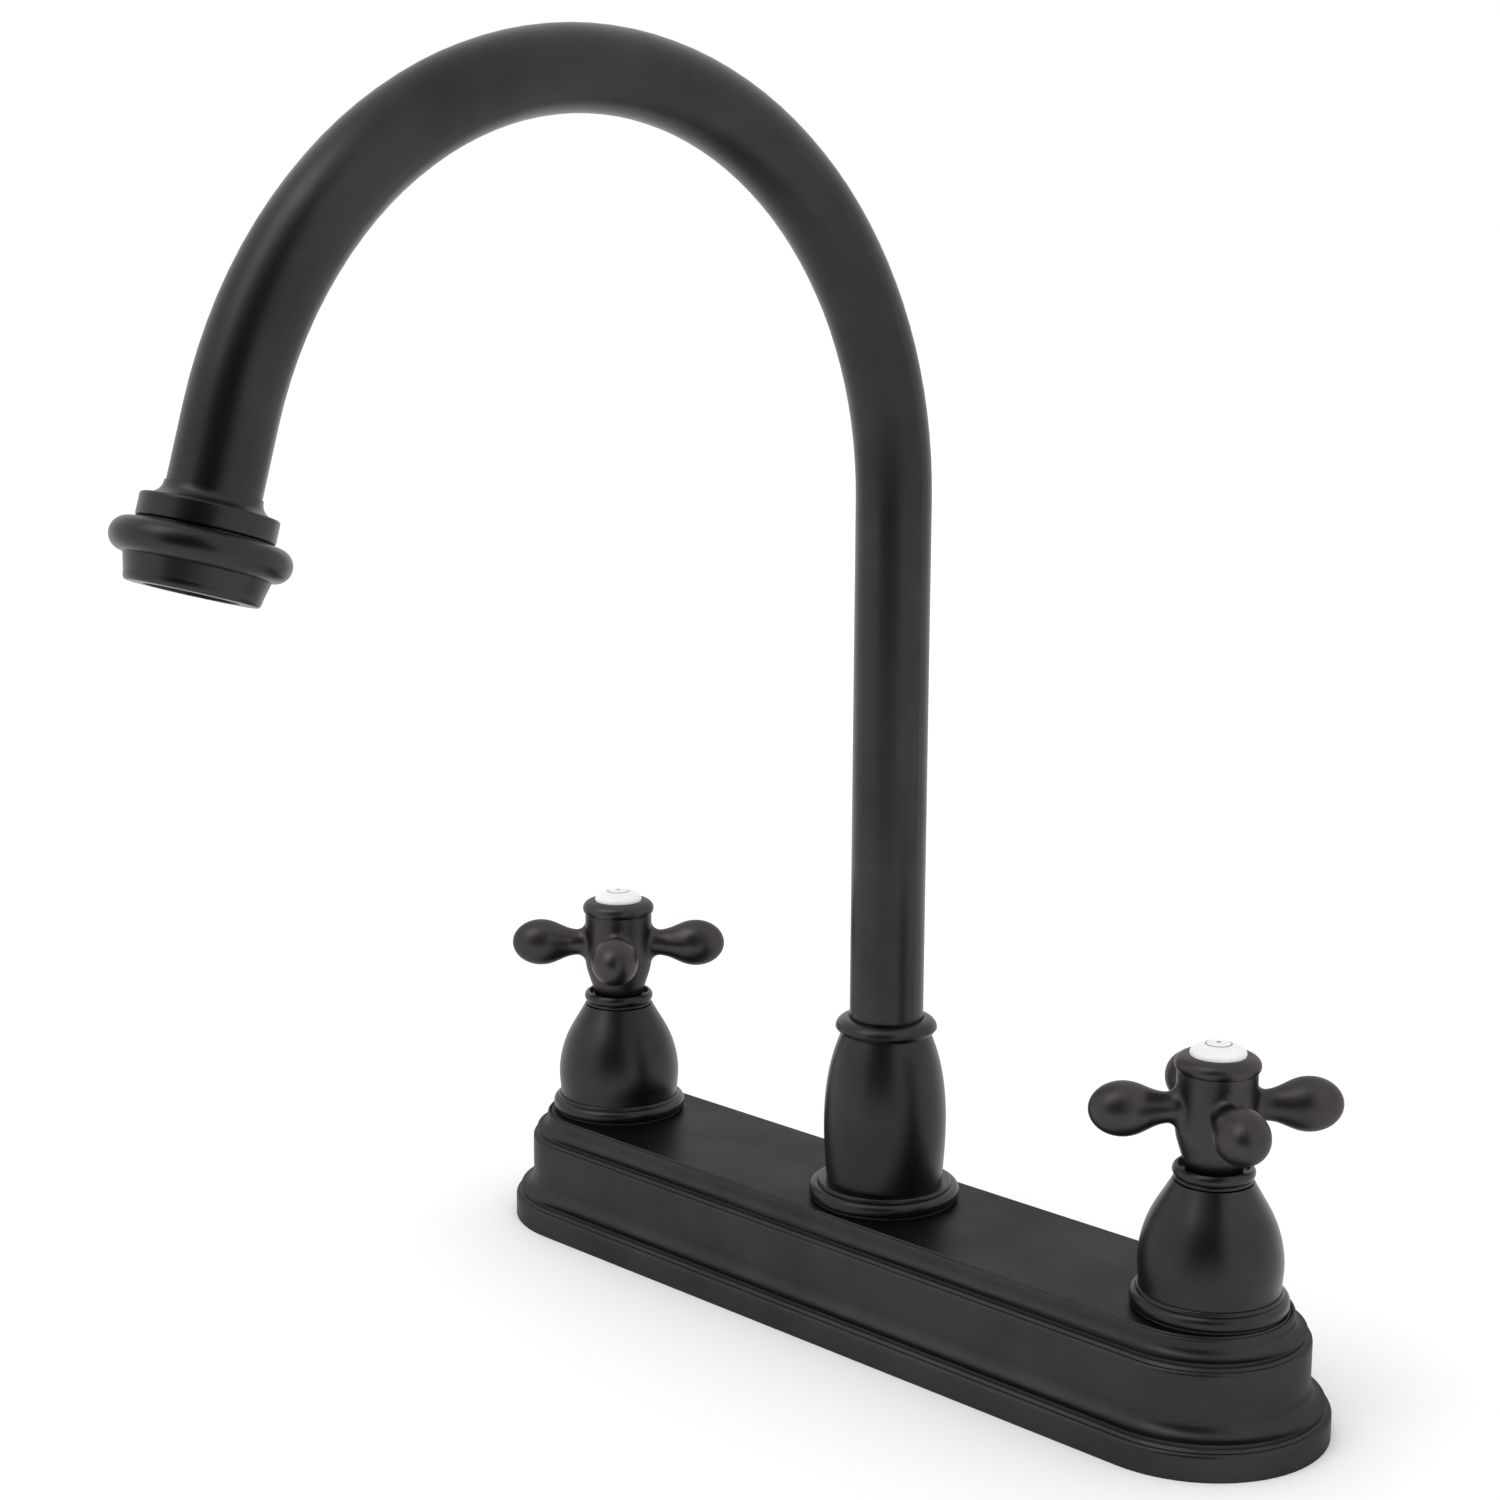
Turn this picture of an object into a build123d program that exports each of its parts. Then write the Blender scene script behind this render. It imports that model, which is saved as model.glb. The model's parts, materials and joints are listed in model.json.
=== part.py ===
from build123d import *
import os
from math import cos, radians, sin

os.makedirs("parts", exist_ok=True)

# A two handle kitchen faucet on a cover plate. Millimetres. The origin is on the sink deck,
# midway between the handles. +Z is up, +X runs along the plate to the cold handle, and the
# spout reaches towards -Y. Every handle position stands half the spacing from the middle.

# Fits
thread_gap = 0.15       # threaded and pushed-in pieces, radially
shaft_gap = 0.08        # turning shafts, radially
bush_gap = 0.1          # spout tube in its guide bush, radially
running_gap = 0.3       # faces that move past each other
loose_gap = 0.3         # clearance holes
socket_gap = 0.05       # brazed sockets of the spout tube, radially

# Deck plate: outer profile, from the foot up and inwards
handle_spacing = 203.2
end_inset = 2.3
foot_half = 31.0
foot_side = 5.75
foot_shoulder = 1.05
moulding_groove = 0.6
lower_lip = 0.2
lower_lip_rise = 1.2
lower_cove = 3.6
lower_cove_rise = 3.2
wall_rise = 11.3
wall_shoulder = 0.9
upper_lip = 0.3
upper_lip_rise = 1.2
upper_cove = 2.9
upper_cove_rise = 2.2
riser_rise = 1.7
edge_bead = 0.65
quirk_depth = 0.45
quirk_half = 0.3
casting_wall = 2.5

# Sheet under the plate, and the sink deck that it seals on
gasket_thickness = 3.0
deck_thickness = 20.0

# Valve blocks and their shanks
block_radius = 15.0
chamber_radius = 9.5
chamber_floor_thickness = 8.0
tower_radius = 12.0
tower_above_plate = 15.2
shank_radius = 10.45
inlet_radius = 5.5
shank_washer_radius = 19.0
shank_washer_thickness = 2.5
locknut_across_flats = 31.0
locknut_flange_radius = 17.5
locknut_flange_thickness = 2.0
locknut_thickness = 8.0
relief_width = 2.0
relief_depth = 1.2
nut_to_relief = 1.0
supply_thread_length = 16.5

# Water tubes between the blocks
cross_tube_radius = 6.35
cross_tube_wall = 1.0
cross_tube_socket = 4.0
cross_tube_below_plate = 8.3
port_radius = 5.0

# Spout hub and its nipple
nipple_above_plate = 8.8
nipple_bore_radius = 8.0

# Turned flanges of the bells and the barrel, on their seals
seal_thickness = 0.6
seal_inset = 0.7
flange_rise = 3.2
flange_round = 1.2
tier_rise = 0.9
tier_round = 0.5

# Bell escutcheons
bell_flange_radius = 18.5
bell_tier_radius = 17.15
bell_foot_radius = 16.5
bell_belly_radius = 16.85
bell_shoulder_radius = 14.85
bell_top_radius = 9.45
bell_belly_rise = 5.2
bell_shoulder_rise = 10.8
bell_crown_rise = 9.8
bell_wall = 2.0

# Collar rings over the bells
nut_bead_radius = 8.9
nut_bead_rise = 1.0
nut_bead_bulge = 0.25
nut_collar_radius = 9.6
nut_collar_rise = 2.6
nut_recess_radius = 8.3
nut_recess_depth = 1.6
nut_lip_radius = 5.5
nut_lip_thickness = 0.4

# Cartridges
neck_radius = 7.6
cavity_radius = 7.6
hexagon_across_flats = 20.0
hexagon_rise = 5.0
seal_ring_inner = 6.0
seal_ring_outer = 8.8
seal_ring_thickness = 3.0
disc_thickness = 3.0
moving_disc_thickness = 2.6
disc_gap = 0.2
disc_port_radius = 1.9
disc_port_offset = 3.8
window_width = 5.0
window_height = 5.0
tang_width = 2.5
tang_length = 6.0
tang_depth = 1.2
tang_gap = 0.2

# Stems
stem_radius = 4.0
stem_foot_thickness = 3.2
stem_ring_rise = 14.0
ring_wire_radius = 0.8
ring_groove_width = 2.0
ring_groove_radius = 2.3
ring_seat_gap = 0.05
clip_thickness = 0.6
clip_radius = 5.3
clip_gap = 0.05
clip_groove_depth = 0.7
clip_mouth = 3.0
clip_pocket_radius = 6.0
clip_pocket_depth = 1.0

# Cross handles, measured from the underside of the hub
hub_gap = 1.0
hub_neck_radius = 6.8
hub_foot_radius = 7.15
hub_foot_rise = 1.5
hub_swell_radius = 8.3
hub_swell_rise = 5.0
hub_radius = 9.3
hub_straight_rise = 10.0
hub_height = 23.2
hub_floor = 2.0
stem_socket_depth = 16.6
stem_end_gap = 0.3
arm_count = 4
arm_first_angle = 45.0
arm_height = 14.6
arm_fillet = 2.5
arm_neck_radius = 3.6
arm_ball_radius = 6.4
arm_neck_reach = 11.0
arm_swell_run = 10.8
arm_tip_length = 8.0
cold_handle_angle = 5.0

# Button, its cap and the handle screw
cap_pocket_radius = 7.7
cap_pocket_depth = 3.0
cap_bead_radius = 9.95
cap_bead_middle = 1.45
cap_bead_thickness = 2.9
cap_rim_radius = 6.65
cap_rise = 0.85
button_rise = 2.7
button_side = 0.2
button_seat = 1.6
screw_radius = 2.0
screw_gap = 0.1
screw_head_radius = 3.5
screw_head_rise = 2.2
screw_length = 10.0
screw_pocket_radius = 4.4
screw_slot_width = 1.0
screw_slot_depth = 1.1

# Spout barrel
barrel_flange_radius = 19.35
barrel_tier_radius = 17.3
barrel_foot_radius = 14.85
barrel_belly_radius = 15.7
barrel_shoulder_radius = 14.2
barrel_neck_radius = 11.2
barrel_belly_rise = 15.5
barrel_shoulder_rise = 15.0
barrel_neck_rise = 9.05
barrel_bore_radius = 10.4

# Ring on top of the barrel
cap_nut_foot_radius = 12.2
cap_nut_radius = 13.0
cap_nut_foot_rise = 1.1
cap_nut_rise = 2.7
cap_nut_skirt = 5.4
cap_nut_tube_gap = 0.2

# Spout bearing
thrust_washer_thickness = 1.5
coupling_length = 20.0
coupling_socket_depth = 9.0
coupling_bore_radius = 7.0
spout_ring_count = 2
spout_ring_groove_radius = 8.5
spout_ring_spacing = 4.2
spout_ring_first = 3.2

# Spout tube
tube_radius = 9.4
tube_wall = 1.2
bend_start_height = 210.3
bend_radius = 98.5
bend_sweep = 163.1

# Nozzle, measured along the tube from the end of its bend
tube_tail = 21.1
flare_start = 14.9
flare_edge = 0.3
flare_radius = 12.0
collar_start = 18.0
collar_radius = 13.7
collar_length = 4.9
collar_round = 0.6
collar_groove = 0.3
bead_root_radius = 14.1
bead_radius = 17.9
bead_thickness = 6.9
nozzle_ledge = 1.2
nozzle_waterway_radius = 7.5

# Aerator
aerator_thread_radius = 11.0
aerator_bore_radius = 10.2
aerator_washer_thickness = 1.5
outlet_top_radius = 14.5
outlet_shoulder_radius = 13.6
outlet_radius = 12.8
outlet_taper_length = 3.6
outlet_shoulder_length = 1.7
outlet_lip = 1.0
outlet_lip_radius = 9.4
insert_gap = 0.2
insert_thickness = 7.0
insert_rim = 1.6
insert_web = 2.0
insert_hole_radius = 0.9
insert_hole_pitch = 2.7
insert_hole_rings = 2
insert_first_ring_holes = 6
screen_thickness = 0.5

# Sizes that follow
handle_x = handle_spacing / 2
end_x = handle_x - end_inset
foot_shoulder_top = foot_side + foot_shoulder
lower_groove_z = foot_shoulder_top + moulding_groove
lower_groove_half = foot_half - foot_shoulder - moulding_groove
lower_lip_half = lower_groove_half + lower_lip
lower_lip_z = lower_groove_z + lower_lip_rise
wall_half = lower_lip_half - lower_cove
wall_z = lower_lip_z + lower_cove_rise
wall_top = wall_z + wall_rise
upper_groove_half = wall_half - wall_shoulder - moulding_groove
upper_groove_z = wall_top + wall_shoulder + moulding_groove
upper_lip_half = upper_groove_half + upper_lip
upper_lip_z = upper_groove_z + upper_lip_rise
riser_half = upper_lip_half - upper_cove
riser_z = upper_lip_z + upper_cove_rise
plate_top = riser_z + riser_rise + edge_bead + quirk_depth / 2
plate_under = plate_top - casting_wall
rim_half = foot_half - casting_wall
block_top = plate_under - running_gap
chamber_floor = gasket_thickness + chamber_floor_thickness
tower_top = plate_top + tower_above_plate
cross_tube_z = plate_under - cross_tube_below_plate
flange_base = plate_top + seal_thickness
foot_top = flange_base + flange_rise + tier_rise
bell_top = foot_top + bell_belly_rise + bell_shoulder_rise + bell_crown_rise
nut_top = bell_top + nut_bead_rise + nut_collar_rise
neck_top = nut_top - nut_recess_depth
hub_base = neck_top + hub_gap
locknut_top = -deck_thickness - shank_washer_thickness
relief_top = locknut_top - locknut_flange_thickness - locknut_thickness - nut_to_relief
relief_base = relief_top - relief_width
shank_end = relief_base - supply_thread_length
nipple_top = plate_top + nipple_above_plate
barrel_top = foot_top + barrel_belly_rise + barrel_shoulder_rise + barrel_neck_rise
coupling_base = nipple_top + thrust_washer_thickness + running_gap
coupling_top = coupling_base + coupling_length
coupling_socket = coupling_top - coupling_socket_depth


def saved(name, solid):
    """Writes one node's solid."""
    export_step(solid, f"parts/{name}.step")


def rod(radius, low, high):
    """Upright cylinder between two heights."""
    return Pos(0, 0, low) * extrude(Circle(radius), high - low)


def ring(outer, inner, low, high):
    """Upright tube between two heights."""
    return Pos(0, 0, low) * extrude(Circle(outer) - Circle(inner), high - low)


def hexagon(across_flats, low, high):
    """Upright hexagonal bar between two heights."""
    outline = RegularPolygon(across_flats / 2, 6, major_radius=False)
    return Pos(0, 0, low) * extrude(outline, high - low)


def turned(*edges):
    """A closed outline in (radius, height), turned about the upright axis."""
    return revolve(Plane.XZ * make_face(edges), Axis.Z)


def round_over(low, high):
    """Quarter ellipse that leaves low upright and reaches high level: a rounded shoulder."""
    start = 0 if high[1] > low[1] else 270
    across = low[0] - high[0]
    return EllipticalCenterArc((high[0], low[1]), across, abs(high[1] - low[1]), start, arc_size=90)


def cove(low, high):
    """Quarter ellipse that leaves low level and reaches high upright: a hollow."""
    return EllipticalCenterArc((low[0], high[1]), low[0] - high[0], high[1] - low[1], 180, arc_size=90)


# Deck plate and its gasket


def plate_outline():
    """Half section of the plate's wall: the moulded outside, then the cored inside."""
    shoulder_end = (foot_half - foot_shoulder, foot_shoulder_top)
    lower_groove = (lower_groove_half, lower_groove_z)
    lower_lip_point = (lower_lip_half, lower_lip_z)
    wall_low = (wall_half, wall_z)
    wall_high = (wall_half, wall_top)
    wall_end = (wall_half - wall_shoulder, wall_top + wall_shoulder)
    upper_groove = (upper_groove_half, upper_groove_z)
    upper_lip_point = (upper_lip_half, upper_lip_z)
    riser_low = (riser_half, riser_z)
    riser_high = (riser_half, riser_z + riser_rise)
    bead_end = (riser_half - edge_bead, riser_z + riser_rise + edge_bead)
    quirk = (bead_end[0] - quirk_half, plate_top - quirk_depth)
    top_edge = (quirk[0] - quirk_half, plate_top)
    outside = [
        Line((foot_half, 0), (foot_half, foot_side)),
        round_over((foot_half, foot_side), shoulder_end),
        Polyline(shoulder_end, lower_groove, lower_lip_point),
        cove(lower_lip_point, wall_low),
        Line(wall_low, wall_high),
        round_over(wall_high, wall_end),
        Polyline(wall_end, upper_groove, upper_lip_point),
        cove(upper_lip_point, riser_low),
        Line(riser_low, riser_high),
        round_over(riser_high, bead_end),
        Polyline(bead_end, quirk, top_edge, (0, plate_top), (0, plate_under)),
    ]
    inside = Polyline(
        (0, plate_under),
        (riser_half - casting_wall, plate_under),
        (riser_half - casting_wall, upper_groove_z - casting_wall),
        (wall_half - casting_wall, upper_groove_z - casting_wall),
        (wall_half - casting_wall, lower_groove_z - casting_wall),
        (lower_groove_half - casting_wall, lower_groove_z - casting_wall),
        (lower_groove_half - casting_wall, gasket_thickness),
        (rim_half, gasket_thickness),
        (rim_half, 0),
        (foot_half, 0),
    )
    return make_face([*outside, inside])


def stadium(section):
    """A half section run along the plate and turned half round at each end."""
    across = extrude(Plane.YZ * section, end_x, both=True)
    start = Plane((0, 0, 0), x_dir=(0, -1, 0), z_dir=(-1, 0, 0))
    end = revolve(start * section, Axis.Z, 180)
    cold_end = Pos(end_x, 0, 0) * end
    hot_end = Rot(0, 0, 180) * cold_end
    return across + mirror(across, Plane.XZ) + cold_end + hot_end


def deck_plate():
    holes = [Pos(x, 0, 0) * rod(tower_radius + loose_gap, gasket_thickness, plate_top)
             for x in (-handle_x, 0, handle_x)]
    return stadium(plate_outline()) - holes


def deck_gasket():
    half = rim_half - thread_gap
    sheet = extrude(SlotCenterToCenter(2 * end_x, 2 * half), gasket_thickness)
    hole = rod(shank_radius + loose_gap, 0, gasket_thickness)
    return sheet - Pos(-handle_x, 0, 0) * hole - Pos(handle_x, 0, 0) * hole


# Water way: valve blocks, tubes and spout hub


def along_x(radius, start, end):
    """Level cylinder at the height of the water tubes."""
    return Pos(start, 0, cross_tube_z) * Rot(0, 90, 0) * extrude(Circle(radius), end - start)


def valve_body():
    """Block, tower and shank of the hot side, about its own axis; its port faces +X."""
    body = rod(block_radius, gasket_thickness, block_top)
    body += rod(tower_radius, block_top, tower_top)
    body += rod(shank_radius, shank_end, gasket_thickness)
    body -= rod(chamber_radius, chamber_floor, tower_top)
    body -= rod(inlet_radius, shank_end, chamber_floor)
    body -= along_x(port_radius, 0, block_radius)
    body -= along_x(cross_tube_radius + thread_gap, block_radius - cross_tube_socket, block_radius)
    body -= ring(shank_radius + relief_depth, shank_radius - relief_depth, relief_base, relief_top)
    return body


def cross_tube():
    """The hot side's water tube, from its valve block to the spout hub."""
    start = -handle_x + block_radius - cross_tube_socket + thread_gap
    end = -block_radius + cross_tube_socket - thread_gap
    bore = along_x(cross_tube_radius - cross_tube_wall, start, end)
    return along_x(cross_tube_radius, start, end) - bore


def spout_hub():
    body = rod(block_radius, gasket_thickness, block_top)
    body += rod(tower_radius, block_top, nipple_top)
    body -= rod(nipple_bore_radius, chamber_floor, nipple_top)
    body -= along_x(port_radius, -block_radius, block_radius)
    for start in (-block_radius, block_radius - cross_tube_socket):
        body -= along_x(cross_tube_radius + thread_gap, start, start + cross_tube_socket)
    return body


def shank_washer():
    return ring(shank_washer_radius, shank_radius + loose_gap, locknut_top, -deck_thickness)


def locknut():
    flange_end = locknut_top - locknut_flange_thickness
    nut = rod(locknut_flange_radius, flange_end, locknut_top)
    nut += hexagon(locknut_across_flats, flange_end - locknut_thickness, flange_end)
    return nut - rod(shank_radius + thread_gap, flange_end - locknut_thickness, locknut_top)


# Bells, barrel and their flanges


def flange_outline(bore, flange_radius, tier_radius, foot_radius):
    """Outline of a turned flange on its seal, from the bore out and up to the foot of the body."""
    tier_base = flange_base + flange_rise
    middle = flange_base + flange_rise / 2
    return [
        Line((bore, flange_base), (flange_radius - flange_round, flange_base)),
        ThreePointArc(
            (flange_radius - flange_round, flange_base),
            (flange_radius, middle),
            (flange_radius - flange_round, tier_base),
        ),
        Line((flange_radius - flange_round, tier_base), (tier_radius, tier_base)),
        round_over((tier_radius, tier_base), (tier_radius - tier_round, foot_top)),
        Line((tier_radius - tier_round, foot_top), (foot_radius, foot_top)),
    ]


def bell_curve(foot_z, wall):
    """Side of the dome, or its inner face when a wall thickness is given."""
    half_wall = wall / 2
    belly_z = foot_top + bell_belly_rise
    shoulder_z = belly_z + bell_shoulder_rise
    return Spline(
        (bell_foot_radius - wall, foot_z),
        (bell_belly_radius - wall, belly_z - half_wall),
        (bell_shoulder_radius - wall, shoulder_z - half_wall),
        (bell_top_radius - half_wall, bell_top - wall),
        tangents=[(0, 1), (bell_top_radius - bell_shoulder_radius, bell_crown_rise)],
    )


def bell():
    outer = bell_curve(foot_top, 0)
    inner = bell_curve(flange_base, bell_wall)
    mouth = neck_radius + thread_gap
    bore = bell_foot_radius - bell_wall
    edges = flange_outline(bore, bell_flange_radius, bell_tier_radius, bell_foot_radius)
    crown = Polyline(outer @ 1, (mouth, bell_top), (mouth, bell_top - bell_wall), inner @ 1)
    return turned(*edges, outer, crown, inner)


def bell_gasket():
    return ring(bell_flange_radius - seal_inset, tower_radius + loose_gap, plate_top, flange_base)


def barrel_gasket():
    return ring(barrel_flange_radius - seal_inset, tower_radius + loose_gap, plate_top, flange_base)


def spout_barrel():
    belly_z = foot_top + barrel_belly_rise
    socket = tower_radius + thread_gap
    socket_top = nipple_top + running_gap
    side = Spline(
        (barrel_foot_radius, foot_top),
        (barrel_belly_radius, belly_z),
        (barrel_shoulder_radius, belly_z + barrel_shoulder_rise),
        (barrel_neck_radius, barrel_top),
    )
    edges = flange_outline(socket, barrel_flange_radius, barrel_tier_radius, barrel_foot_radius)
    inside = Polyline(
        (barrel_neck_radius, barrel_top),
        (barrel_bore_radius, barrel_top),
        (barrel_bore_radius, socket_top),
        (socket, socket_top),
        (socket, flange_base),
    )
    return turned(*edges, side, inside)


def spout_cap_nut():
    """Ring that closes the barrel's top, with a threaded skirt inside it."""
    bore = tube_radius + cap_nut_tube_gap
    widest_z = barrel_top + cap_nut_foot_rise
    skirt = ring(barrel_bore_radius - thread_gap, bore, barrel_top - cap_nut_skirt, barrel_top)
    bead = turned(
        Polyline((cap_nut_radius, widest_z), (cap_nut_foot_radius, barrel_top), (bore, barrel_top)),
        Line((bore, barrel_top), (bore, widest_z + cap_nut_rise)),
        round_over((cap_nut_radius, widest_z), (bore, widest_z + cap_nut_rise)),
    )
    return bead + skirt


def bell_nut():
    """Thin bead and wider collar ring, screwed on the cartridge's neck, with a lip over its end."""
    bead_z = bell_top + nut_bead_rise
    lip_base = neck_top + socket_gap
    half = nut_collar_rise / 2
    thread = neck_radius + thread_gap
    return turned(
        Line((thread, bell_top), (nut_bead_radius, bell_top)),
        ThreePointArc(
            (nut_bead_radius, bell_top),
            (nut_bead_radius + nut_bead_bulge, bell_top + nut_bead_rise / 2),
            (nut_bead_radius, bead_z),
        ),
        ThreePointArc(
            (nut_bead_radius, bead_z),
            (nut_collar_radius, bead_z + half),
            (nut_bead_radius, nut_top),
        ),
        Polyline(
            (nut_bead_radius, nut_top),
            (nut_recess_radius, nut_top),
            (nut_recess_radius, lip_base + nut_lip_thickness),
            (nut_lip_radius, lip_base + nut_lip_thickness),
            (nut_lip_radius, lip_base),
            (thread, lip_base),
            (thread, bell_top),
        ),
    )


# Cartridges

disc_base = chamber_floor + seal_ring_thickness
moving_disc_base = disc_base + disc_thickness + disc_gap
stem_foot_base = moving_disc_base + moving_disc_thickness
cavity_top = stem_foot_base + stem_foot_thickness + running_gap
ports = GridLocations(2 * disc_port_offset, 0, 2, 1)


def cartridge_body():
    stem_bore = stem_radius + shaft_gap
    window_z = moving_disc_base + window_height / 2
    body = rod(chamber_radius - thread_gap, disc_base, tower_top)
    body += hexagon(hexagon_across_flats, tower_top, tower_top + hexagon_rise)
    body += rod(neck_radius, tower_top + hexagon_rise, neck_top)
    body -= rod(cavity_radius, disc_base, cavity_top)
    body -= rod(stem_bore, cavity_top, neck_top)
    body -= rod(clip_pocket_radius, neck_top - clip_pocket_depth, neck_top)
    window = Box(2 * chamber_radius, window_width, window_height)
    for turn in (0, 90):
        body -= Pos(0, 0, window_z) * Rot(0, 0, turn) * window
    return body


def seat_seal():
    return ring(seal_ring_outer, seal_ring_inner, chamber_floor, disc_base)


def fixed_disc():
    blank = Circle(cavity_radius - thread_gap) - Rot(0, 0, 90) * ports * Circle(disc_port_radius)
    return Pos(0, 0, disc_base) * extrude(blank, disc_thickness)


def moving_disc():
    """Disc with two notches open to its rim, and a slot on top for the stem's tang."""
    notch = Pos(disc_port_offset, 0) * Circle(disc_port_radius)
    notch_length = cavity_radius - disc_port_offset
    notch += Pos(disc_port_offset + notch_length / 2, 0) * Rectangle(notch_length, 2 * disc_port_radius)
    blank = Circle(cavity_radius - running_gap) - notch - Rot(0, 0, 180) * notch
    slot = Box(tang_width + tang_gap, tang_length + tang_gap, 2 * (tang_depth + tang_gap))
    disc = extrude(blank, moving_disc_thickness) - Pos(0, 0, moving_disc_thickness) * slot
    return Pos(0, 0, moving_disc_base) * disc


# Stems and what rides on them

stem_top = hub_base + stem_socket_depth - stem_end_gap
stem_ring_z = cavity_top + stem_ring_rise
clip_base = neck_top - clip_pocket_depth + running_gap
clip_groove_base = clip_base - clip_gap
screw_seat = hub_base + stem_socket_depth + hub_floor


def stem():
    body = rod(cavity_radius - running_gap, stem_foot_base, stem_foot_base + stem_foot_thickness)
    body += rod(stem_radius, stem_foot_base, stem_top)
    body += Pos(0, 0, stem_foot_base - tang_depth / 2) * Box(tang_width, tang_length, tang_depth)
    past = stem_radius + shaft_gap
    half_groove = ring_groove_width / 2
    body -= ring(past, ring_groove_radius, stem_ring_z - half_groove, stem_ring_z + half_groove)
    clip_groove_top = clip_base + clip_thickness + clip_gap
    body -= ring(past, stem_radius - clip_groove_depth, clip_groove_base, clip_groove_top)
    return body - rod(screw_radius + screw_gap, screw_seat - screw_length - stem_end_gap, stem_top)


def stem_o_ring():
    major = ring_groove_radius + ring_seat_gap + ring_wire_radius
    return Pos(0, 0, stem_ring_z) * Torus(major, ring_wire_radius)


def stem_clip():
    bore = stem_radius - clip_groove_depth + clip_gap
    clip = ring(clip_radius, bore, clip_base, clip_base + clip_thickness)
    mouth = Box(2 * clip_radius, clip_mouth, 2 * clip_thickness)
    return clip - Pos(clip_radius, 0, clip_base) * mouth


# Cross handles, built from the underside of the hub


def hub():
    """Turned hub, narrower below its arms."""
    profile = [
        Polyline((0, hub_height), (0, 0), (hub_neck_radius, 0), (hub_foot_radius, hub_foot_rise)),
        Spline(
            (hub_foot_radius, hub_foot_rise),
            (hub_swell_radius, hub_swell_rise),
            (hub_radius, hub_straight_rise),
            tangents=[(hub_swell_radius - hub_foot_radius, hub_swell_rise - hub_foot_rise), (0, 1)],
        ),
        Polyline((hub_radius, hub_straight_rise), (hub_radius, hub_height), (0, hub_height)),
    ]
    return turned(*profile)


def arm():
    """One teardrop arm, lying along +X at its height on the hub."""
    ball = arm_neck_reach + arm_swell_run
    neck = (arm_neck_reach, arm_neck_radius)
    side = Spline(neck, (ball, arm_ball_radius), tangents=[(1, 0), (1, 0)])
    tip = EllipticalCenterArc((ball, 0), arm_tip_length, arm_ball_radius, arc_size=90)
    back = Polyline((ball + arm_tip_length, 0), (0, 0), (0, arm_neck_radius), neck)
    return Pos(0, 0, arm_height) * revolve(make_face([side, tip, back]), Axis.X)


def cross_handle():
    """Hub and arms, rounded where they meet, with the sockets for the stem, screw and cap."""
    body = hub()
    for number in range(arm_count):
        body += Rot(0, 0, arm_first_angle + number * 360 / arm_count) * arm()
    joins = body.edges().filter_by(GeomType.BSPLINE).filter_by(lambda edge: edge.is_closed)
    body = fillet(joins, arm_fillet)
    pocket_base = hub_height - cap_pocket_depth
    body -= rod(cap_pocket_radius, pocket_base, hub_height)
    body -= rod(screw_pocket_radius, stem_socket_depth + hub_floor, pocket_base)
    body -= rod(screw_radius + loose_gap, stem_socket_depth, stem_socket_depth + hub_floor)
    body -= rod(stem_radius + bush_gap, 0, stem_socket_depth)
    return Pos(0, 0, hub_base) * body


hub_top = hub_base + hub_height
cap_base = hub_top - cap_pocket_depth
cap_shoulder = hub_top + cap_bead_thickness
cap_top = cap_shoulder + cap_rise
button_base = cap_top - button_seat


def button_cap():
    """Bead round the hub's top, screwed into the hub, with a seat for the button."""
    skirt_radius = cap_pocket_radius - thread_gap
    bead = ThreePointArc(
        (hub_radius, hub_top),
        (cap_bead_radius, hub_top + cap_bead_middle),
        (hub_radius, cap_shoulder),
    )
    rim = Spline(
        (hub_radius, cap_shoulder),
        (cap_rim_radius, cap_top),
        tangents=[(-1, 1), (-1, 0)],
    )
    seat = Polyline(
        (cap_rim_radius, cap_top),
        (cap_rim_radius, button_base),
        (screw_pocket_radius, button_base),
        (screw_pocket_radius, cap_base),
        (skirt_radius, cap_base),
        (skirt_radius, hub_top),
        (hub_radius, hub_top),
    )
    return turned(bead, rim, seat)


def index_button():
    """Porcelain button with an upright side and a low domed top."""
    seat_radius = cap_rim_radius - bush_gap
    side_top = cap_top + button_side
    crown = side_top + button_rise
    profile = Polyline((seat_radius, side_top), (seat_radius, button_base), (0, button_base), (0, crown))
    return turned(profile, round_over((seat_radius, side_top), (0, crown)))


def handle_screw():
    head_top = screw_seat + screw_head_rise
    screw = rod(screw_radius, screw_seat - screw_length, screw_seat)
    screw += rod(screw_head_radius, screw_seat, head_top)
    slot = Box(2 * screw_head_radius, screw_slot_width, 2 * screw_slot_depth)
    return screw - Pos(0, 0, head_top) * slot


# Spout bearing and tube

coupling_radius = barrel_bore_radius - shaft_gap
spout_ring_major = spout_ring_groove_radius + ring_seat_gap + ring_wire_radius


def spout_ring_height(number):
    return coupling_base + spout_ring_first + number * spout_ring_spacing


def spout_coupling():
    body = rod(coupling_radius, coupling_base, coupling_top)
    body -= rod(coupling_bore_radius, coupling_base, coupling_socket)
    body -= rod(tube_radius + socket_gap, coupling_socket, coupling_top)
    half = ring_groove_width / 2
    for number in range(spout_ring_count):
        z = spout_ring_height(number)
        body -= ring(barrel_bore_radius, spout_ring_groove_radius, z - half, z + half)
    return body


def spout_o_ring(number):
    return Pos(0, 0, spout_ring_height(number)) * Torus(spout_ring_major, ring_wire_radius)


def spout_thrust_washer():
    washer_outer = barrel_bore_radius - thread_gap
    return ring(washer_outer, nipple_bore_radius, nipple_top, nipple_top + thrust_washer_thickness)


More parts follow.
